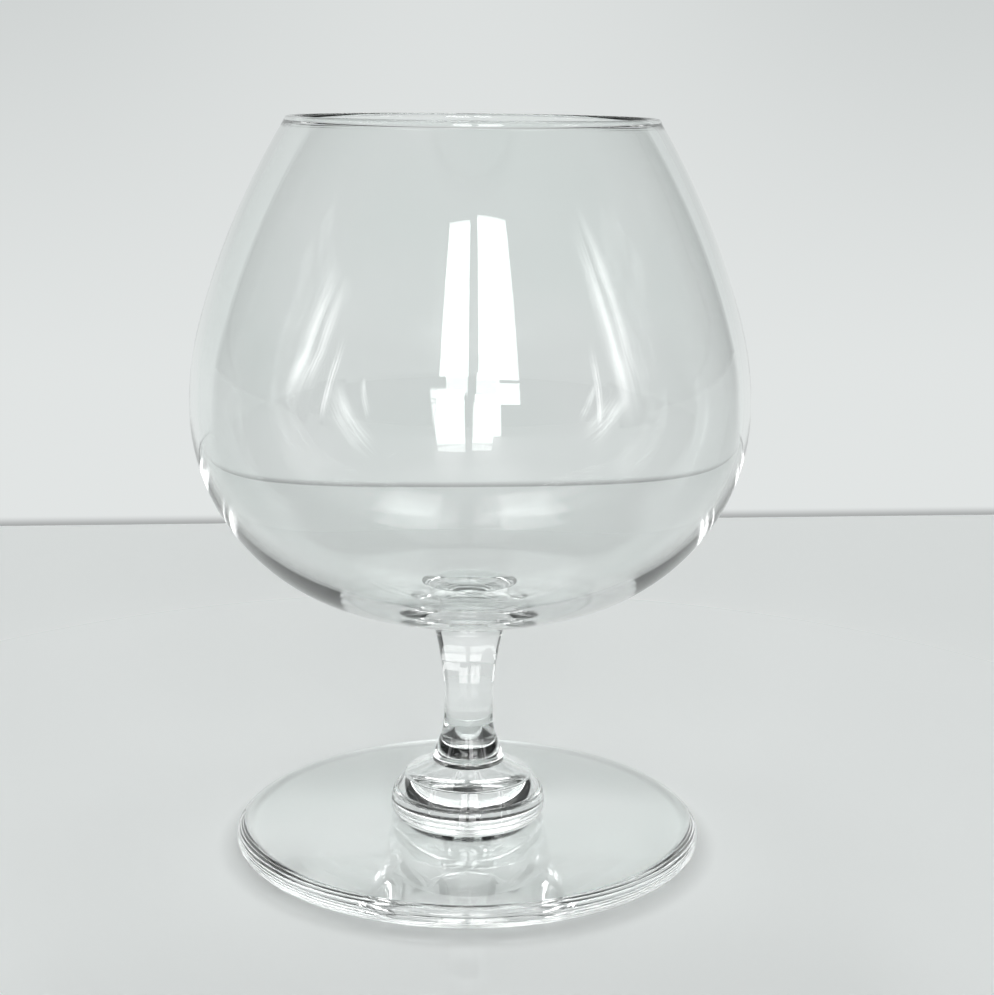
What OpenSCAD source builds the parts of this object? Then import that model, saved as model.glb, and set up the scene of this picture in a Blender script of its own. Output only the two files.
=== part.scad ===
// Brandy snifter in clear glass: a wide bowl drawn in to a narrow rim, on a short waisted stem,
// a flared collar, a stepped knop and a round foot.
// The pieces are turned about Z and stand on each other face to face, from the table at Z = 0.

/* [Bowl] */
// Height of the bowl, from its seat on the stem to the top of the rim
bowl_h = 87.1; // [80:0.1:94]
// Widest outside diameter of the bowl
bowl_d = 98.3; // [92:0.1:104]
// Diameter of the rim, across the middle of its wall
rim_d = 62.9; // [56:0.1:70]
// Thickness of the glass at the rim and down the side
wall_t = 1.3; // [1:0.1:1.8]
// Radius of the curve that closes in above the widest point
belly_r = 55; // [46:0.5:62]
// Radius of the long curve up the side to the rim
side_r = 133; // [115:1:160]
// Radius of the curve under the widest point
cup_r = 36.3; // [34:0.1:38]
// Radius of the shallow curve of the underside
under_r = 95; // [85:1:110]
// Thickness of the glass at the middle of the base
base_t = 3.6; // [3.2:0.1:3.8]
// How much tighter the inner curve under the widest point is than an even wall would make it
swell = 1.7; // [1.4:0.1:2.2]

/* [Stem] */
// Height of the stem, from the collar to the bowl
stem_h = 23.6; // [20:0.1:27]
// Diameter of the waist of the stem
waist_d = 8.8; // [7.6:0.1:9.4]
// Height of the waist above the foot of the stem
waist_h = 4.8; // [3.5:0.1:7]
// Diameter of the foot of the stem, where it stands on the collar
stem_foot_d = 9.7; // [9.6:0.1:10.6]
// Diameter of the stem where it starts to flare out under the bowl
neck_d = 12.1; // [11:0.1:13]
// Height of that flare
flare_h = 4.6; // [3.6:0.1:5.6]
// Diameter of the seat between the stem and the bowl
seat_d = 17.8; // [17:0.1:19.4]

/* [Collar] */
// Height of the collar
collar_h = 5.2; // [4.4:0.1:6.4]
// Diameter of the foot of the collar, where it stands on the knop
collar_d = 13; // [11.6:0.1:14.4]
// Radius of the curve round the foot of the collar
collar_r = 4.2; // [2.5:0.1:5]

/* [Knop] */
// Height of the knop, from the foot to the collar
knop_h = 10.1; // [9.2:0.1:11.6]
// Widest diameter of the knop
knop_d = 28.3; // [27.4:0.1:31]
// Height of the widest point above the foot
knop_wide_h = 1.9; // [1.2:0.1:3]
// Diameter where the knop stands on the foot
knop_seat_d = 26.6; // [24.5:0.1:28]
// Height of the step round the knop above the foot
step_h = 4.7; // [3.6:0.1:5.4]
// Outer diameter of the step
step_d = 27.2; // [26.2:0.1:28.2]
// Inner diameter of the step, where the upper tier rises
tier_d = 25.8; // [24.2:0.1:26.2]
// Diameter of the upper tier at its shoulder
shoulder_d = 23.4; // [20.5:0.1:25]
// Height of the middle of the shoulder's rounding above the foot
shoulder_h = 7; // [6.4:0.1:7.6]
// Radius of the shoulder's rounding
shoulder_r = 0.9; // [0.5:0.1:1.4]

/* [Foot] */
// Diameter of the foot
foot_d = 85; // [76:0.5:94]
// Thickness of the foot under the knop
foot_t = 4; // [3.4:0.1:5]
// Thickness of the foot at its rounded edge
edge_t = 3; // [2:0.1:3.3]

/* [Hidden] */
$fn = 192;
clear_glass = [0.85, 0.89, 0.88, 0.35];
// how far the slices of one section run into each other
lap = 0.1;

// heights of the seats, from the table up
collar_seat_z = foot_t + knop_h;
stem_seat_z = collar_seat_z + collar_h;
bowl_seat_z = stem_seat_z + stem_h;
rim_z = bowl_seat_z + bowl_h;

// radius of the arc that starts upright and moves by [dr, dz]
function arc_r(dr, dz) = (dr * dr + dz * dz) / (2 * dr);

// radius at height z of the outer side of a circle about c
function out_at(c, r, z) = c[0] + sqrt(r * r - pow(z - c[1], 2));

// the point where two circles cross, to the left of the way from the first to the second
function cross_left(c1, r1, c2, r2) =
    let (way = c2 - c1)
    let (d = norm(way))
    let (along = (r1 * r1 - r2 * r2 + d * d) / (2 * d))
    let (aside = sqrt(r1 * r1 - along * along))
    c1 + along * way / d + aside * [-way[1], way[0]] / d;

// the point where the tangent from p touches a circle; side 1 turns left from the way to its centre
function touch(p, c, r, side) =
    let (way = c - p)
    let (d = norm(way))
    let (turn = side * asin(r / d))
    let (reach = sqrt(d * d - r * r) / d)
    p + reach * [way[0] * cos(turn) - way[1] * sin(turn), way[0] * sin(turn) + way[1] * cos(turn)];

// bowl, outside: underside, cup, belly and side are tangent arcs
bowl_r = bowl_d / 2;
cup_x = bowl_r - cup_r;
cup_drop = sqrt(pow(under_r - cup_r, 2) - cup_x * cup_x);
under_c = [0, bowl_seat_z + sqrt(under_r * under_r - pow(seat_d / 2, 2))];
wide_z = under_c[1] - cup_drop;
cup_c = [cup_x, wide_z];
under_end_z = under_c[1] - under_r * cup_drop / (under_r - cup_r);
belly_c = [bowl_r - belly_r, wide_z];
bead_c = [rim_d / 2, rim_z - wall_t / 2];
side_c = cross_left(belly_c, side_r - belly_r, bead_c, side_r - wall_t / 2);
side_way = (belly_c - side_c) / norm(belly_c - side_c);
side_start_z = side_c[1] + side_r * side_way[1];

// bowl, inside: even with the outside above the widest point, and tighter below it
inner_cup_r = cup_r - wall_t - swell;
inner_cup_c = [bowl_r - wall_t - inner_cup_r, wide_z];
inner_base_z = under_c[1] - under_r + base_t;
inner_depth = wide_z - inner_base_z;
inner_base_r = (inner_depth * inner_depth + pow(inner_cup_c[0], 2) - inner_cup_r * inner_cup_r)
    / (2 * (inner_depth - inner_cup_r));
inner_base_c = [0, inner_base_z + inner_base_r];
inner_base_end_z = inner_base_c[1]
    - inner_base_r * (inner_base_c[1] - wide_z) / (inner_base_r - inner_cup_r);
inner_side_start_z = side_c[1] + (side_r - wall_t) * side_way[1];

// stem: a waist between two long hollow arcs, and a short flare tangent to the upper one
waist_z = stem_seat_z + waist_h;
neck_z = bowl_seat_z - flare_h;
low_arc_r = arc_r((stem_foot_d - waist_d) / 2, waist_h);
high_arc_r = arc_r((neck_d - waist_d) / 2, neck_z - waist_z);
low_arc_c = [waist_d / 2 + low_arc_r, waist_z];
high_arc_c = [waist_d / 2 + high_arc_r, waist_z];
neck_p = [neck_d / 2, neck_z];
neck_way = (high_arc_c - neck_p) / high_arc_r;
flare_way = [seat_d / 2, bowl_seat_z] - neck_p;
flare_r = flare_way * flare_way / (2 * flare_way * neck_way);
flare_c = neck_p + flare_r * neck_way;

// collar: a cone that runs into the curve round its foot
collar_c = [collar_d / 2 - collar_r, collar_seat_z];
collar_top_p = [stem_foot_d / 2, stem_seat_z];
collar_touch_p = touch(collar_top_p, collar_c, collar_r, 1);

// knop: a rounded lower tier, a step, and an upper tier with a rounded shoulder
knop_wide_z = foot_t + knop_wide_h;
step_z = foot_t + step_h;
low_bulge_r = arc_r((knop_d - knop_seat_d) / 2, knop_wide_h);
high_bulge_r = arc_r((knop_d - step_d) / 2, step_h - knop_wide_h);
shoulder_c = [shoulder_d / 2 - shoulder_r, foot_t + shoulder_h];
collar_rim_p = [collar_d / 2, collar_seat_z];
tier_p = [tier_d / 2, step_z];

// foot: flat under, gently coned above, with a full round edge
edge_c = [foot_d / 2 - edge_t / 2, edge_t / 2];
knop_rim_p = [knop_seat_d / 2, foot_t];
foot_touch_p = touch(knop_rim_p, edge_c, edge_t / 2, 1);

// the part of a circle to the right of the axis, between two heights
module slice(c, r, z0, z1) {
    intersection() {
        translate(c) circle(r);
        translate([0, z0]) square([c[0] + r, z1 - z0]);
    }
}

// the region from the axis out to a convex arc, between two heights
module to_bulge(c, r, z0, z1) {
    slice(c, r, z0, z1);
    translate([0, z0]) square([min(out_at(c, r, z0), out_at(c, r, z1)), z1 - z0]);
}

// the region from the axis out to a hollow arc, between two heights
module to_hollow(c, r, z0, z1) {
    difference() {
        translate([0, z0]) square([c[0], z1 - z0]);
        translate(c) circle(r);
    }
}

// everything inside four tangent arcs, a little past the rim: each smaller circle lies within the
// next, so the slices overlap and only the widest part of each one shows
module within(base_c, base_r, base_z, base_end_z, low_c, low_r, gap, side_z) {
    slice(base_c, base_r, base_z, base_end_z);
    slice(low_c, low_r, base_z, rim_z);
    translate([0, base_end_z - lap]) square([low_c[0], wide_z - base_end_z + lap]);
    slice(belly_c, belly_r - gap, wide_z, rim_z);
    slice(side_c, side_r - gap, side_z, rim_z + wall_t);
}

// what is cut off square to the wall at the rim, before its edge is rounded
module past_rim() {
    lean = atan2(bead_c[1] - side_c[1], bead_c[0] - side_c[0]);
    translate(bead_c) rotate(lean) translate([-2 * wall_t, 0]) square([4 * wall_t, 4 * wall_t]);
}

module bowl() {
    color(clear_glass) rotate_extrude() {
        difference() {
            within(under_c, under_r, bowl_seat_z, under_end_z, cup_c, cup_r, 0, side_start_z);
            within(inner_base_c, inner_base_r, inner_base_z, inner_base_end_z,
                inner_cup_c, inner_cup_r, wall_t, inner_side_start_z);
            past_rim();
        }
        translate(bead_c) circle(wall_t / 2);
    }
}

module stem() {
    color(clear_glass) rotate_extrude() {
        to_hollow(low_arc_c, low_arc_r, stem_seat_z, waist_z);
        to_hollow(high_arc_c, high_arc_r, waist_z, neck_z);
        to_hollow(flare_c, flare_r, neck_z, bowl_seat_z);
    }
}

module collar() {
    color(clear_glass) rotate_extrude() {
        to_bulge(collar_c, collar_r, collar_seat_z, collar_touch_p[1]);
        polygon([
            [0, collar_seat_z], [stem_foot_d / 2, collar_seat_z], collar_touch_p,
            collar_top_p, [0, stem_seat_z]
        ]);
    }
}

module knop() {
    color(clear_glass) rotate_extrude() {
        to_bulge([knop_d / 2 - low_bulge_r, knop_wide_z], low_bulge_r, foot_t, knop_wide_z);
        to_bulge([knop_d / 2 - high_bulge_r, knop_wide_z], high_bulge_r, knop_wide_z, step_z);
        polygon([
            [0, step_z], tier_p, touch(tier_p, shoulder_c, shoulder_r, -1),
            touch(collar_rim_p, shoulder_c, shoulder_r, 1), collar_rim_p, [0, collar_seat_z]
        ]);
        translate(shoulder_c) circle(shoulder_r);
    }
}

module foot() {
    color(clear_glass) rotate_extrude() {
        polygon([[0, 0], [edge_c[0], 0], edge_c, foot_touch_p, knop_rim_p, [0, foot_t]]);
        translate(edge_c) circle(edge_t / 2);
    }
}

bowl();
stem();
collar();
knop();
foot();
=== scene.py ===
import math

import bmesh
import bpy
from mathutils import Matrix, Vector


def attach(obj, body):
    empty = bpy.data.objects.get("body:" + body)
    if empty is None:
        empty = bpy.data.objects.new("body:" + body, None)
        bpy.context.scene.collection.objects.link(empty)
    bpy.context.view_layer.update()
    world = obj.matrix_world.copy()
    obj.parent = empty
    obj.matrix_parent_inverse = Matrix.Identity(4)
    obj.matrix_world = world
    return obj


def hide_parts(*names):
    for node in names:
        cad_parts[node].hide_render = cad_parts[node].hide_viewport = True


# Brandy snifter in clear glass: five pieces of glass, turned and joined hot
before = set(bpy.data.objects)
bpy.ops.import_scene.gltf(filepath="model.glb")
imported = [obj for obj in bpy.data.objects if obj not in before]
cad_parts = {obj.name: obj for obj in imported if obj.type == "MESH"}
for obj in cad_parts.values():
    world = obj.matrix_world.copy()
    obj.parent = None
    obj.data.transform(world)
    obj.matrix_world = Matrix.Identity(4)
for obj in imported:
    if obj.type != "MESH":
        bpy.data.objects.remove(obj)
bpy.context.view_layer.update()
print("frame loaded")

mm = 0.001
upAxis = Vector((0, 0, 1))
acrossAxis = Vector((0, 1, 0))


# shader nodes

class Wire:
    # one output socket; sums with it add Math nodes to its tree
    def __init__(self, web, socket):
        self.web = web
        self.socket = socket

    def calc(self, operation, first, second=0.0):
        return self.web.node("Math", {"operation": operation}, {0: first, 1: second})

    def __add__(self, other):
        return self.calc("ADD", self, other)

    def __radd__(self, other):
        return self.calc("ADD", other, self)

    def __sub__(self, other):
        return self.calc("SUBTRACT", self, other)

    def __rsub__(self, other):
        return self.calc("SUBTRACT", other, self)

    def __mul__(self, other):
        return self.calc("MULTIPLY", self, other)

    def __rmul__(self, other):
        return self.calc("MULTIPLY", other, self)

    def __pow__(self, other):
        return self.calc("POWER", self, other)

    def __abs__(self):
        return self.calc("ABSOLUTE", self)

    def orMore(self, other):
        # the larger of the two
        return self.calc("MAXIMUM", self, other)

    def orLess(self, other):
        # the smaller of the two
        return self.calc("MINIMUM", self, other)


class Web:
    # the node tree of one material or of the world
    def __init__(self, owner):
        owner.use_nodes = True
        self.tree = owner.node_tree
        self.tree.nodes.clear()

    def node(self, kind, settings=None, sockets=None, out=0):
        made = self.tree.nodes.new("ShaderNode" + kind)
        for name, value in (settings or {}).items():
            setattr(made, name, value)
        for name, value in (sockets or {}).items():
            if isinstance(value, Wire):
                self.tree.links.new(value.socket, made.inputs[name])
            else:
                made.inputs[name].default_value = value
        return Wire(self, made.outputs[out])

    def parts(self, vector, names="XYZ"):
        return [self.node("SeparateXYZ", None, {0: vector}, name) for name in names]

    def ramp(self, value, low, high, steep="SMOOTHSTEP"):
        # 0 below low, 1 above high
        return self.node("MapRange", {"interpolation_type": steep},
                         {"Value": value, "From Min": low, "From Max": high})

    def tint(self, factor, first, second):
        # sockets 0, 6 and 7 and output 2 are the ones for colours
        return self.node("Mix", {"data_type": "RGBA"}, {0: factor, 6: first, 7: second}, 2)

    def pick(self, factor, first, second):
        return self.node("MixShader", None, {0: factor, 1: first, 2: second})

    def finish(self, shader, kind="Material"):
        end = self.tree.nodes.new("ShaderNodeOutput" + kind)
        self.tree.links.new(shader.socket, end.inputs["Surface"])


def newWeb(name):
    material = bpy.data.materials.new(name)
    return material, Web(material)


# camera, from the ellipses of the rim and the foot in the photograph

camera = {
    "away": 324.3 * mm,       # from the glass's axis
    "height": 136.28 * mm,
    "pitch": 12.68,           # degrees down
    "yaw": 0.85,              # degrees to the right
    "roll": 0.61,
    "lens": 67.26,
    "sensor": 36,
    "clip": (0.01, 20),
}


def makeCamera(spec):
    pitch, yaw, roll = (math.radians(spec[key]) for key in ("pitch", "yaw", "roll"))
    data = bpy.data.cameras.new("camera")
    data.lens = spec["lens"]
    data.sensor_width = spec["sensor"]
    data.clip_start, data.clip_end = spec["clip"]
    made = bpy.data.objects.new("camera", data)
    turn = (Matrix.Rotation(-yaw, 4, "Z") @ Matrix.Rotation(math.pi / 2 - pitch, 4, "X")
            @ Matrix.Rotation(roll, 4, "Z"))
    made.matrix_world = Matrix.Translation((0, -spec["away"], spec["height"])) @ turn
    bpy.context.scene.collection.objects.link(made)
    bpy.context.scene.camera = made


makeCamera(camera)
print("camera placed")


# finishes

crystalSpec = {
    "ior": 1.54,
    "tint": (0.985, 0.995, 0.992, 1),
    "deepTint": (0.965, 0.985, 0.978, 1),
    "tintFrom": (0.3, 0.7),
    "wave": 0.05,             # strength of the faint unevenness of hand-worked glass
    "waveDepth": 0.4 * mm,
    "waveScale": 38.0,
    "waveDetail": 1.0,
    "haze": 0.012,            # roughness where the surface is least clean
    "hazeFrom": (0.52, 0.78),
    "hazeScale": 160.0,
    "hazeDetail": 4.0,
}


def makeCrystal(spec):
    material, web = newWeb("clear_crystal")
    place = web.node("TexCoord", out="Object")
    slow = web.node("TexNoise", None, {"Vector": place, "Scale": spec["waveScale"],
                                       "Detail": spec["waveDetail"]})
    cloud = web.node("TexNoise", None, {"Vector": place, "Scale": spec["hazeScale"],
                                        "Detail": spec["hazeDetail"]})
    smear = web.ramp(cloud, *spec["hazeFrom"])
    colour = web.tint(web.ramp(slow, *spec["tintFrom"]), spec["tint"], spec["deepTint"])
    uneven = web.node("Bump", None, {"Strength": spec["wave"], "Distance": spec["waveDepth"],
                                     "Height": slow})
    web.finish(web.node("BsdfPrincipled", None, {
        "Base Color": colour, "Roughness": smear * spec["haze"], "IOR": spec["ior"],
        "Transmission Weight": 1.0, "Normal": uneven}))
    return material


def makeWeld():
    # the faces where two pieces are melted into one: nothing shows there
    material, web = newWeb("melted_joint")
    web.finish(web.node("BsdfTransparent"))
    return material


crystal = makeCrystal(crystalSpec)
weld = makeWeld()
print("finishes made")


# turning: a line is drawn in the plane of X and Z, and spun round Z

turning = {
    "sameSpot": 0.002 * mm,   # points nearer than this are merged
    "sameRing": 0.01 * mm,    # how near an edge or face is to the ring or height it belongs to
    "level": 0.9999,          # the upright part of a flat face's normal
    "sharpFrom": 20,          # degrees between two faces
    "roundSegments": 4,
}


def inPlane(radius, height):
    return Vector((radius * mm, 0, height * mm))


def vertsOf(parts):
    return [part for part in parts if isinstance(part, bmesh.types.BMVert)]


def lineFrom(bm, radius, height):
    return bm.verts.new(inPlane(radius, height))


def runTo(bm, end, radius, height):
    moved = bmesh.ops.extrude_vert_indiv(bm, verts=[end])["verts"][0]
    bmesh.ops.translate(bm, verts=[moved], vec=inPlane(radius, height) - moved.co)
    return moved


def bendTo(bm, end, centre, stop, step):
    # an arc about centre as far as stop, both in mm, with about one point every step mm
    middle = inPlane(*centre)
    start = end.co - middle
    aim = inPlane(*stop) - middle
    angle = math.atan2(start.cross(aim).dot(acrossAxis), start.dot(aim))
    steps = max(3, round(abs(angle) * start.length / (step * mm)))
    spun = bmesh.ops.spin(bm, geom=[end], cent=middle, axis=acrossAxis, angle=angle, steps=steps)
    return vertsOf(spun["geom_last"])[0]


def turnPiece(bm, name, node, segments, weldHeights, softEdges=()):
    near = turning["sameRing"]
    bmesh.ops.spin(bm, geom=bm.verts[:] + bm.edges[:], cent=(0, 0, 0), axis=upAxis,
                   angle=2 * math.pi, steps=segments, use_merge=True)
    bmesh.ops.remove_doubles(bm, verts=bm.verts, dist=turning["sameSpot"])
    for radius, height, size in softEdges:
        ring = [edge for edge in bm.edges if all(
            abs(math.hypot(vert.co.x, vert.co.y) - radius * mm) < near
            and abs(vert.co.z - height * mm) < near for vert in edge.verts)]
        bmesh.ops.bevel(bm, geom=ring, offset=size * mm, offset_type="OFFSET", affect="EDGES",
                        segments=turning["roundSegments"], profile=0.5, material=-1)
    bmesh.ops.recalc_face_normals(bm, faces=bm.faces)
    for face in bm.faces:
        face.smooth = True
        flat = abs(face.normal.z) > turning["level"]
        if flat and any(abs(face.calc_center_median().z - height * mm) < near
                        for height in weldHeights):
            face.material_index = 1
    for edge in bm.edges:
        edge.smooth = edge.calc_face_angle(0) < math.radians(turning["sharpFrom"])
    mesh = bpy.data.meshes.new(name)
    bm.to_mesh(mesh)
    bm.free()
    mesh.materials.append(crystal)
    mesh.materials.append(weld)
    piece = bpy.data.objects.new(name, mesh)
    bpy.context.scene.collection.objects.link(piece)
    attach(piece, "root")
    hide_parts(node)
    print("turned", name, len(mesh.polygons), "faces")


def sunkArc(rise, across):
    # radius of the arc that starts upright and moves by across as it rises
    return (across * across + rise * rise) / (2 * across)


def touchPoint(point, centre, radius, side):
    # where the tangent from point touches a circle
    way = (centre[0] - point[0], centre[1] - point[1])
    far = math.hypot(*way)
    turn = side * math.asin(radius / far)
    reach = math.sqrt(far * far - radius * radius) / far
    return (point[0] + reach * (way[0] * math.cos(turn) - way[1] * math.sin(turn)),
            point[1] + reach * (way[0] * math.sin(turn) + way[1] * math.cos(turn)))


def onCircle(centre, radius, height):
    return (centre[0] + math.sqrt(radius ** 2 - (height - centre[1]) ** 2), height)


# foot; for all five pieces sizes are in mm, base is the height of the underside, and
# sizes that end in Step are from point to point along a curve

foot = {
    "width": 85,
    "middle": 4,              # thickness under the knop
    "wideAt": 1.0,            # height of the outermost line, and radius of the rounding below
    "edge": 1.5,              # radii above it: as far as edgeTo degrees, and on to the top
    "edgeTo": 50,
    "over": 4.2,
    "knopSeat": 26.6,
    "edgeStep": 0.15,
    "overStep": 0.2,
    "segments": 256,
}


def makeFoot(spec):
    half = spec["width"] / 2
    low = (half - spec["wideAt"], spec["wideAt"])
    near = Vector((half - spec["edge"], spec["wideAt"]))
    edgeTo = math.radians(spec["edgeTo"])
    way = Vector((math.cos(edgeTo), math.sin(edgeTo)))
    high = near - (spec["over"] - spec["edge"]) * way
    seat = (spec["knopSeat"] / 2, spec["middle"])
    bm = bmesh.new()
    end = lineFrom(bm, 0, 0)
    end = runTo(bm, end, low[0], 0)
    end = bendTo(bm, end, low, (half, low[1]), spec["edgeStep"])
    end = bendTo(bm, end, near, near + spec["edge"] * way, spec["edgeStep"])
    end = bendTo(bm, end, high, touchPoint(seat, high, spec["over"], 1), spec["overStep"])
    end = runTo(bm, end, *seat)
    runTo(bm, end, 0, spec["middle"])
    turnPiece(bm, "footGlass", "foot", spec["segments"], [spec["middle"]])


makeFoot(foot)


# knop

knop = {
    "base": 4,
    "height": 10.1,
    "width": 28.3,
    "wideAt": 1.9,            # above its base, as stepAt and shoulderAt are
    "seat": 26.6,
    "stepAt": 4.7,
    "stepOut": 27.2,
    "stepIn": 25.8,
    "stepRound": 0.3,         # small roundings at the outside and the inside of the step
    "tierRound": 0.25,
    "shoulder": 23.4,
    "shoulderAt": 7,
    "shoulderRound": 0.9,
    "collarSeat": 13,
    "sideStep": 0.25,
    "shoulderStep": 0.15,
    "segments": 192,
}


def makeKnop(spec):
    base = spec["base"]
    wide = (spec["width"] / 2, base + spec["wideAt"])
    step = base + spec["stepAt"]
    top = base + spec["height"]
    low = sunkArc(spec["wideAt"], (spec["width"] - spec["seat"]) / 2)
    high = sunkArc(spec["stepAt"] - spec["wideAt"], (spec["width"] - spec["stepOut"]) / 2)
    bend = spec["shoulderRound"]
    shoulder = (spec["shoulder"] / 2 - bend, base + spec["shoulderAt"])
    ledge = (spec["stepOut"] / 2, step)
    tier = (spec["stepIn"] / 2, step)
    collarRim = (spec["collarSeat"] / 2, top)
    bm = bmesh.new()
    end = lineFrom(bm, 0, base)
    end = runTo(bm, end, spec["seat"] / 2, base)
    end = bendTo(bm, end, (wide[0] - low, wide[1]), wide, spec["sideStep"])
    end = bendTo(bm, end, (wide[0] - high, wide[1]), ledge, spec["sideStep"])
    end = runTo(bm, end, *tier)
    end = runTo(bm, end, *touchPoint(tier, shoulder, bend, -1))
    end = bendTo(bm, end, shoulder, touchPoint(collarRim, shoulder, bend, 1),
                 spec["shoulderStep"])
    end = runTo(bm, end, *collarRim)
    runTo(bm, end, 0, top)
    turnPiece(bm, "knopGlass", "knop", spec["segments"], [base, top],
              [(*ledge, spec["stepRound"]), (*tier, spec["tierRound"])])


makeKnop(knop)


# collar

collar = {
    "base": 14.1,
    "height": 5.2,
    "width": 13,
    "round": 4.2,
    "top": 9.7,
    "roundStep": 0.2,
    "segments": 160,
}


def makeCollar(spec):
    centre = (spec["width"] / 2 - spec["round"], spec["base"])
    top = (spec["top"] / 2, spec["base"] + spec["height"])
    bm = bmesh.new()
    end = lineFrom(bm, 0, spec["base"])
    end = runTo(bm, end, spec["width"] / 2, spec["base"])
    end = bendTo(bm, end, centre, touchPoint(top, centre, spec["round"], 1), spec["roundStep"])
    end = runTo(bm, end, *top)
    runTo(bm, end, 0, top[1])
    turnPiece(bm, "collarGlass", "collar", spec["segments"], [spec["base"], top[1]])


makeCollar(collar)


# stem

stem = {
    "base": 19.3,
    "height": 23.6,
    "waist": 8.8,
    "waistAt": 4.8,           # above its base
    "low": 9.7,
    "neck": 12.1,
    "flare": 4.6,             # height of the quicker flare from the neck to the seat
    "seat": 17.8,
    "sideStep": 0.4,
    "flareStep": 0.2,
    "segments": 160,
}


def makeStem(spec):
    top = spec["base"] + spec["height"]
    waist = (spec["waist"] / 2, spec["base"] + spec["waistAt"])
    neck = Vector((spec["neck"] / 2, top - spec["flare"]))
    seat = Vector((spec["seat"] / 2, top))
    low = sunkArc(spec["waistAt"], (spec["low"] - spec["waist"]) / 2)
    high = sunkArc(neck.y - waist[1], (spec["neck"] - spec["waist"]) / 2)
    highCentre = Vector((waist[0] + high, waist[1]))
    # the flare is tangent to the side at the neck
    neckWay = (highCentre - neck) / high
    flareWay = seat - neck
    flareCentre = neck + flareWay.dot(flareWay) / (2 * flareWay.dot(neckWay)) * neckWay
    bm = bmesh.new()
    end = lineFrom(bm, 0, spec["base"])
    end = runTo(bm, end, spec["low"] / 2, spec["base"])
    end = bendTo(bm, end, (waist[0] + low, waist[1]), waist, spec["sideStep"])
    end = bendTo(bm, end, highCentre, neck, spec["sideStep"])
    end = bendTo(bm, end, flareCentre, seat, spec["flareStep"])
    runTo(bm, end, 0, top)
    turnPiece(bm, "stemGlass", "stem", spec["segments"], [spec["base"], top])


makeStem(stem)


# bowl

bowl = {
    "base": 42.9,
    "height": 87.1,
    "width": 98.3,
    "rim": 62.9,              # across the middle of the wall
    "wall": 1.3,
    "lip": 0.75,              # radius of the melted bead at the rim, thicker than the wall
    "lipFillet": 0.5,
    "belly": 55,              # radii of the curves of the outside
    "side": 133,
    "cup": 36.3,
    "under": 95,
    "seat": 17.8,
    "floor": 3.6,             # thickness in the middle of the base
    "swell": 1.7,             # how much tighter the inner cup is
    "underStep": 0.8,
    "bellyStep": 1.0,
    "sideStep": 1.2,
    "lipStep": 0.16,
    "filletStep": 0.08,
    "segments": 288,
}


def makeBowl(spec):
    wall = spec["wall"]
    half = spec["width"] / 2
    cupX = half - spec["cup"]
    drop = math.sqrt((spec["under"] - spec["cup"]) ** 2 - cupX ** 2)
    under = (0, spec["base"] + math.sqrt(spec["under"] ** 2 - (spec["seat"] / 2) ** 2))
    wideZ = under[1] - drop
    cup = (cupX, wideZ)
    belly = Vector((half - spec["belly"], wideZ))
    lip = spec["lip"]
    bead = Vector((spec["rim"] / 2, spec["base"] + spec["height"] - lip))
    # the long side is tangent to the belly, and the bead lies in the middle of its wall
    reachA = spec["side"] - spec["belly"]
    reachB = spec["side"] - wall / 2
    way = bead - belly
    far = way.length
    along = (reachA ** 2 - reachB ** 2 + far ** 2) / (2 * far)
    aside = math.sqrt(reachA ** 2 - along ** 2)
    side = belly + along * way / far + aside * Vector((-way.y, way.x)) / far
    sideWay = (belly - side).normalized()
    # small hollows lead from the wall to the bead, outside and inside
    beadWay = (bead - side).normalized()
    lipWay = Vector((-beadWay.y, beadWay.x))
    hollow = spec["lipFillet"]
    across = wall / 2 + hollow
    sink = math.sqrt((lip + hollow) ** 2 - across ** 2)
    neckOut, neckIn = (bead + sign * across * beadWay - sink * lipWay for sign in (1, -1))
    underEnd = onCircle(under, spec["under"],
                        under[1] - spec["under"] * drop / (spec["under"] - spec["cup"]))
    # the inside has its own cup, and below it one curve across the floor
    innerCup = spec["cup"] - wall - spec["swell"]
    innerCupC = (half - wall - innerCup, wideZ)
    floorZ = under[1] - spec["under"] + spec["floor"]
    depth = wideZ - floorZ
    innerBase = (depth ** 2 + innerCupC[0] ** 2 - innerCup ** 2) / (2 * (depth - innerCup))
    innerBaseC = (0, floorZ + innerBase)
    innerEnd = onCircle(innerBaseC, innerBase, innerBaseC[1]
                        - innerBase * (innerBaseC[1] - wideZ) / (innerBase - innerCup))
    bm = bmesh.new()
    end = lineFrom(bm, 0, spec["base"])
    end = runTo(bm, end, spec["seat"] / 2, spec["base"])
    end = bendTo(bm, end, under, underEnd, spec["underStep"])
    end = bendTo(bm, end, cup, (half, wideZ), spec["bellyStep"])
    end = bendTo(bm, end, belly, side + sideWay * spec["side"], spec["bellyStep"])
    end = bendTo(bm, end, side, neckOut - beadWay * hollow, spec["sideStep"])
    end = bendTo(bm, end, neckOut, bead + (neckOut - bead) * lip / (lip + hollow),
                 spec["filletStep"])
    end = bendTo(bm, end, bead, bead + lipWay * lip, spec["lipStep"])
    end = bendTo(bm, end, bead, bead + (neckIn - bead) * lip / (lip + hollow), spec["lipStep"])
    end = bendTo(bm, end, neckIn, neckIn + beadWay * hollow, spec["filletStep"])
    end = bendTo(bm, end, side, side + sideWay * (spec["side"] - wall), spec["sideStep"])
    end = bendTo(bm, end, belly, (half - wall, wideZ), spec["bellyStep"])
    end = bendTo(bm, end, innerCupC, innerEnd, spec["underStep"])
    bendTo(bm, end, innerBaseC, (0, floorZ), spec["underStep"])
    turnPiece(bm, "bowlGlass", "bowl", spec["segments"], [spec["base"]])


makeBowl(bowl)
print("glass made")


# stage: a pale table top on a pale floor, and behind its back edge a thin pale sheet

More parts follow.
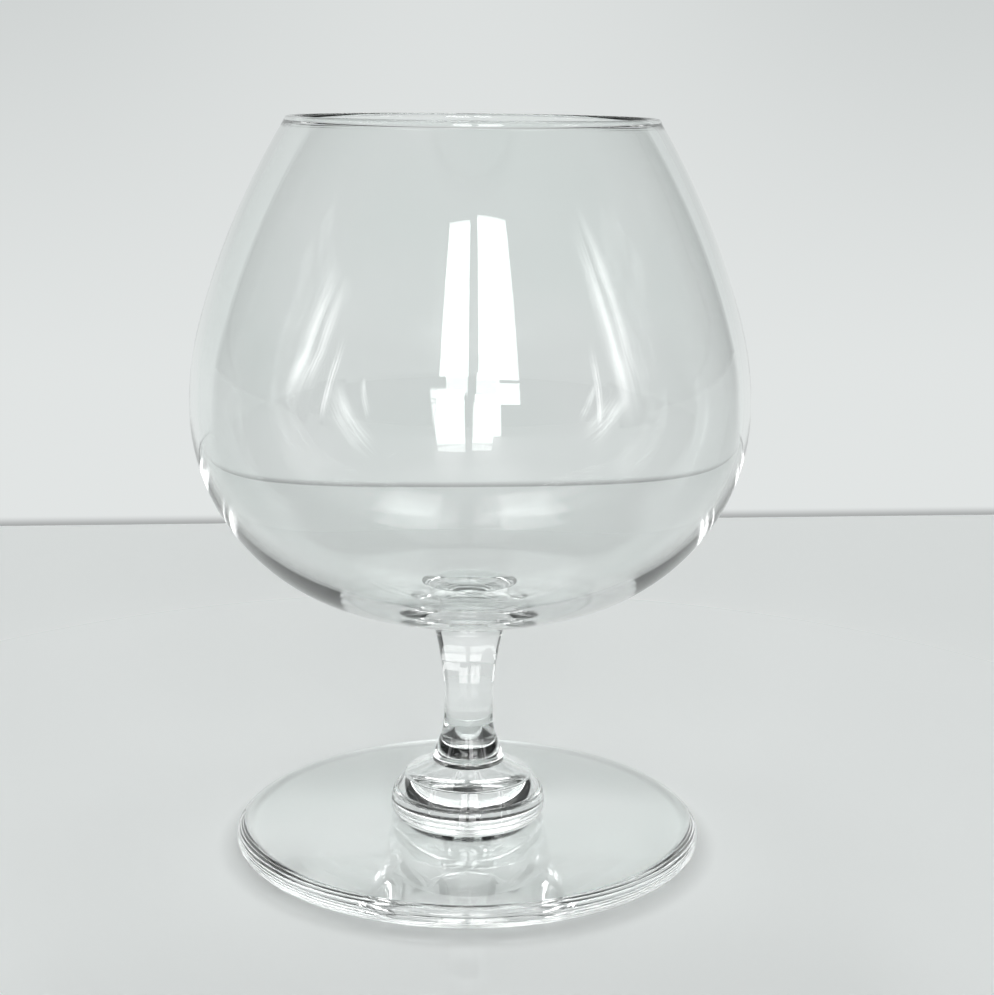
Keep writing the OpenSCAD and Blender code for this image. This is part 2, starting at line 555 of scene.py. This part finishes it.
lit = {
    "half": 0.103,            # how far the painted pool of light reaches to the sides of the glass
    "wider": 0.27,            # and how much farther for each step back
    "front": 0.26,
    "left": 1.5,              # and behind it: to the left and right for each step back
    "right": 0.96,
}

table = {
    # painted light: the table glows a little of its own
    "tone": (0.8, 0.822, 0.816, 1),
    "glow": (0.245, 0.253, 0.251, 1),
    "awayTone": (0.5, 0.514, 0.51, 1),       # painted falloff of light: farther off, where less light reaches
    "awayGlow": (0.12, 0.124, 0.123, 1),
    "awaySoft": 0.14,
    "gloss": 0.03,
    "awayGloss": 0.34,        # added farther off, so that the table mirrors only near the glass
    "glossFrom": (0.1, 0.2),                 # between these distances from the glass's axis
    "ior": 1.45,
    "paintedShadowTone": (0.03, 0.031, 0.031, 1),
    "underKnop": 0.011,       # radius of the painted shadow that the knop keeps dark
    "underEdge": 0.0398,      # from here outwards a painted shadow, where the edge of the foot keeps some light off
    "shade": 0.36,
    "shadeOut": 0.0068,       # as far as this outside it, and a little more to the front
    "shadeFront": 0.003,
    "shadeSoft": 1 * mm,
    "back": 0.249,            # of its edge, straight behind the glass
    "turn": 4.6,              # degrees that this edge is turned
    "half": 2.0,
    "front": 2.0,
    "drop": 0.3 * mm,         # air under the foot
    "floorHalf": 12.0,        # the floor lies just below the table and runs on past it
    "floorSink": 0.004,
}

sheet = {
    "low": (0.765, 0.79, 0.785, 1),
    "high": (0.62, 0.645, 0.64, 1),
    "highFrom": (-0.02, 0.2),                # heights between which low turns to high: painted falloff of light, darker higher up
    "middle": 0.35,           # how much of that change shows in the middle
    "middleHalf": 0.28,
    "shadowLine": (0.38, 0.39, 0.39, 1),           # painted shadow line where the sheet starts behind the table
    "shadowLineTo": (0.006, 0.021),                # so far behind the table's edge it ends
    "start": -2 * mm,
    "far": 0.75,
    "half": 1.6,
    "top": 1.1,
    "bend": 0.2,
    "bendSteps": 16,
    "dimAt": (0.36, 0.46),    # above these heights it thins out
    "dimFrom": 0.25,          # and higher up to the sides
    "dimRise": 0.7,
    "dimSoft": 0.02,
}


def stageMesh(name, bm, material, turn):
    bmesh.ops.rotate(bm, verts=bm.verts, cent=(0, table["back"], 0),
                     matrix=Matrix.Rotation(math.radians(turn), 3, "Z"))
    mesh = bpy.data.meshes.new(name)
    bm.to_mesh(mesh)
    bm.free()
    mesh.materials.append(material)
    made = bpy.data.objects.new(name, mesh)
    bpy.context.scene.collection.objects.link(made)
    return made


def unlit(web, across, deep, soft):
    # 1 where the painted pool of light round the glass and behind it does not reach
    near = abs(across) - deep * lit["wider"] - lit["half"]
    near = near.orMore(-1 * deep - lit["front"])
    behind = across - deep * lit["right"]
    behind = behind.orMore(-1 * across - deep * lit["left"])
    return web.ramp(near.orLess(behind), 0.0, soft)


def makeTable(spec):
    material, web = newWeb("pale_table")
    across, deep = web.parts(web.node("TexCoord", out="Object"), "XY")
    away = unlit(web, across, deep, spec["awaySoft"])
    # painted shadow: the foot keeps light off the table under the knop and round its edge
    radius = (across * across + deep * deep) ** 0.5
    forward = deep + spec["shadeFront"]
    reach = (across * across + forward * forward) ** 0.5
    inner, soft = spec["underEdge"], spec["shadeSoft"]
    edge = (web.ramp(radius, inner - soft, inner + soft) * spec["shade"]
            * web.ramp(reach, inner + spec["shadeOut"], inner))
    under = edge.orMore(web.ramp(radius, spec["underKnop"] + soft, spec["underKnop"]))
    # painted light: the table's colour and glow are painted darker where the painted pool of
    # light does not reach
    colour = web.tint(away, spec["tone"], spec["awayTone"])
    glow = web.tint(away, spec["glow"], spec["awayGlow"])
    gloss = web.ramp(radius, *spec["glossFrom"]) * spec["awayGloss"] + spec["gloss"]
    web.finish(web.node("BsdfPrincipled", None, {
        "Base Color": web.tint(under, colour, spec["paintedShadowTone"]),
        "Emission Color": web.tint(under, glow, (0, 0, 0, 1)), "Emission Strength": 1.0,
        "Roughness": gloss, "IOR": spec["ior"]}))
    length = spec["front"] + spec["back"]
    bm = bmesh.new()
    bmesh.ops.create_grid(bm, x_segments=1, y_segments=1, size=1)
    bmesh.ops.scale(bm, verts=bm.verts, vec=(spec["half"], length / 2, 1))
    bmesh.ops.translate(bm, verts=bm.verts, vec=(0, spec["back"] - length / 2, -spec["drop"]))
    stageMesh("table", bm, material, spec["turn"])
    bm = bmesh.new()
    bmesh.ops.create_grid(bm, x_segments=1, y_segments=1, size=spec["floorHalf"])
    bmesh.ops.translate(bm, verts=bm.verts, vec=(0, 0, -spec["floorSink"]))
    stageMesh("floor", bm, material, 0)


def makeSheet(spec):
    material, web = newWeb("pale_sheet")
    across, deep, height = web.parts(web.node("TexCoord", out="Object"))
    aside = abs(across)
    middle = spec["middle"] + (1 - spec["middle"]) * web.ramp(aside, 0.0, spec["middleHalf"])
    # painted falloff of light: darker higher up, less so in the middle
    shade = web.ramp(height, *spec["highFrom"], "LINEAR") * middle
    colour = web.tint(shade, spec["low"], spec["high"])
    # the painted shadow line runs with the table's edge, which is turned a little
    behind = deep - table["back"] - across * math.tan(math.radians(table["turn"]))
    colour = web.tint(web.ramp(behind, *spec["shadowLineTo"]), spec["shadowLine"], colour)
    # the sheet turns clear and shows the dim room above dimAt and, as painted shade, where the
    # painted pool of light does not reach
    wide = (aside - spec["dimFrom"]).orMore(0.0)
    away = unlit(web, across, deep, spec["dimSoft"]).orMore(
        web.ramp(height - wide * spec["dimRise"], *spec["dimAt"]))
    # painted light: the sheet glows of its own
    shine = web.node("Emission", None, {"Color": colour, "Strength": 1.0})
    web.finish(web.pick(away, shine, web.node("BsdfTransparent")))
    half, bend, start = spec["half"], spec["bend"], spec["start"]
    bm = bmesh.new()
    end = bm.verts.new((-half, table["back"], start))
    end = bmesh.ops.extrude_vert_indiv(bm, verts=[end])["verts"][0]
    end.co.y = spec["far"] - bend
    spun = bmesh.ops.spin(bm, geom=[end], cent=(-half, end.co.y, start + bend),
                          axis=(1, 0, 0), angle=math.pi / 2, steps=spec["bendSteps"])
    end = vertsOf(spun["geom_last"])[0]
    end = bmesh.ops.extrude_vert_indiv(bm, verts=[end])["verts"][0]
    end.co.z = spec["top"]
    wide = bmesh.ops.extrude_edge_only(bm, edges=bm.edges[:])
    bmesh.ops.translate(bm, vec=(2 * half, 0, 0), verts=vertsOf(wide["geom"]))
    stageMesh("sheet", bm, material, table["turn"])


makeTable(table)
makeSheet(sheet)


# light: a dim room with long lamps overhead, tall lamps behind the camera, glows at the sides

room = {
    "plain": (0.64, 0.66, 0.655, 1),     # what the camera itself sees of it
    "side": (0.03, 0.031, 0.031, 1),     # level with the glass
    "front": (0.06, 0.062, 0.062, 1),    # behind the camera
    "frontFrom": (-0.4, -0.85),
    "ceiling": (0.07, 0.072, 0.071, 1),
    "ceilingFrom": (0.6, 0.85),
    "strips": (2.6, 2.67, 2.65, 1),      # long lamps overhead to the left and right
    "stripsIn": (0.13, 0.15),            # their edges, as parts of the direction to them
    "stripsOut": (0.43, 0.38),
    "stripsNear": (-0.12, 0.0),
    "stripsFar": (0.33, 0.3),
    "stripsUp": (0.5, 0.6),
}

# lamps and glows are upright panels round this point, and their sides and heights are the
# degrees that they fill to the right and up from it
panels = {
    "seenFrom": (0, 0, 0.095),
    "away": 1.3,
    "lampTone": 5.5,
    "streaks": (9.0, 1.6, 1.0),          # how the glows are streaked across and up
    "streakDetail": 3.0,
    "streaksFrom": (0.35, 0.65),
}

lamps = {
    "lampLeftHigh": {"sides": (-12.5, -1), "heights": (16.6, 45)},
    "lampRightHigh": {"sides": (3, 19), "heights": (15.6, 46)},
    "lampLeftLow": {"sides": (-13, -2.5), "heights": (-4, 12)},
    "lampRightLow": {"sides": (1.5, 11.5), "heights": (-4, 10.5)},
    "lampRightSide": {"sides": (10, 19), "heights": (7, 14.5)},
}

# soft bright shapes at the sides, each turned by turn degrees from the front
glows = {
    "leftWide": {"turn": -68, "lean": -18, "sides": (-8, 8), "heights": (-3, 32),
                 "tone": 6.0, "soft": 0.4},
    "leftThin": {"turn": -57, "lean": -9, "sides": (-1.4, 1.4), "heights": (-4, 22),
                 "tone": 7.0, "soft": 0.3},
    "rightWide": {"turn": 63, "lean": 9, "sides": (-8, 8), "heights": (-6, 42),
                  "tone": 6.0, "soft": 0.4},
    "rightThin": {"turn": 51, "lean": 0, "sides": (-1.4, 1.4), "heights": (-6, 22),
                  "tone": 7.0, "soft": 0.3},
}


def makeRoom(spec):
    world = bpy.context.scene.world or bpy.data.worlds.new("room")
    bpy.context.scene.world = world
    web = Web(world)
    across, back, high = web.parts(web.node("TexCoord", out="Generated"))
    aside = abs(across)
    strips = (web.ramp(aside, *spec["stripsIn"]) * web.ramp(aside, *spec["stripsOut"])
              * web.ramp(back, *spec["stripsNear"]) * web.ramp(back, *spec["stripsFar"])
              * web.ramp(high, *spec["stripsUp"]))
    colour = web.tint(web.ramp(back, *spec["frontFrom"]), spec["side"], spec["front"])
    colour = web.tint(web.ramp(high, *spec["ceilingFrom"]), colour, spec["ceiling"])
    colour = web.tint(strips, colour, spec["strips"])
    colour = web.tint(web.node("LightPath", out="Is Camera Ray"), colour, spec["plain"])
    web.finish(web.node("Background", None, {"Color": colour, "Strength": 1.0}), "World")


def panelPlace(sides, heights, turn=0, lean=0):
    # width, height and place of an upright panel
    away = panels["away"]
    left, right = (away * math.tan(math.radians(side)) for side in sides)
    low, high = (away * math.tan(math.radians(height)) for height in heights)
    place = (Matrix.Translation(panels["seenFrom"])
             @ Matrix.Rotation(math.radians(turn), 4, "Z")
             @ Matrix.Translation(((left + right) / 2, -away, (low + high) / 2))
             @ Matrix.Rotation(math.pi / 2, 4, "X") @ Matrix.Rotation(math.radians(lean), 4, "Z"))
    return right - left, high - low, place


def makeLamp(name, shape):
    wide, high, place = panelPlace(shape["sides"], shape["heights"])
    data = bpy.data.lights.new(name, "AREA")
    data.shape = "RECTANGLE"
    data.size = wide
    data.size_y = high
    data.energy = panels["lampTone"] * math.pi * wide * high
    made = bpy.data.objects.new(name, data)
    made.visible_camera = False
    made.matrix_world = place
    bpy.context.scene.collection.objects.link(made)


def makeGlow(name, shape):
    material, web = newWeb(name)
    over = web.node("TexCoord", out="Generated")
    across, up = web.parts(over, "XY")
    stretched = web.node("VectorMath", {"operation": "MULTIPLY"}, {0: over, 1: panels["streaks"]})
    streaks = web.node("TexNoise", None, {"Scale": 1.0, "Detail": panels["streakDetail"],
                                          "Vector": stretched})
    soft = shape["soft"]
    fade = (web.ramp(across, 0.0, soft) * web.ramp(across, 1.0, 1 - soft)
            * web.ramp(up, 0.0, soft) * web.ramp(up, 1.0, 1 - soft))
    tone = fade * web.ramp(streaks, *panels["streaksFrom"], "LINEAR") * shape["tone"]
    colour = web.node("CombineColor", None, {0: tone, 1: tone, 2: tone})
    shine = web.node("Emission", None, {"Color": colour, "Strength": 1.0})
    # the camera itself sees through it
    web.finish(web.pick(web.node("LightPath", out="Is Camera Ray"), shine,
                        web.node("BsdfTransparent")))
    wide, high, place = panelPlace(shape["sides"], shape["heights"], shape["turn"],
                                   shape["lean"])
    bm = bmesh.new()
    bmesh.ops.create_grid(bm, x_segments=1, y_segments=1, size=0.5)
    bmesh.ops.scale(bm, verts=bm.verts, vec=(wide, high, 1))
    stageMesh(name, bm, material, 0).matrix_world = place


makeRoom(room)
for name, shape in lamps.items():
    makeLamp(name, shape)
for name, shape in glows.items():
    makeGlow(name, shape)
print("stage lit")

bounces = 96                          # thick glass sends light round many times
scene = bpy.context.scene
scene.view_settings.view_transform = "Standard"
scene.cycles.blur_glossy = 0          # light comes through the foot to the table without blur
scene.cycles.max_bounces = bounces
scene.cycles.glossy_bounces = bounces
scene.cycles.transmission_bounces = bounces
scene.cycles.transparent_max_bounces = 32
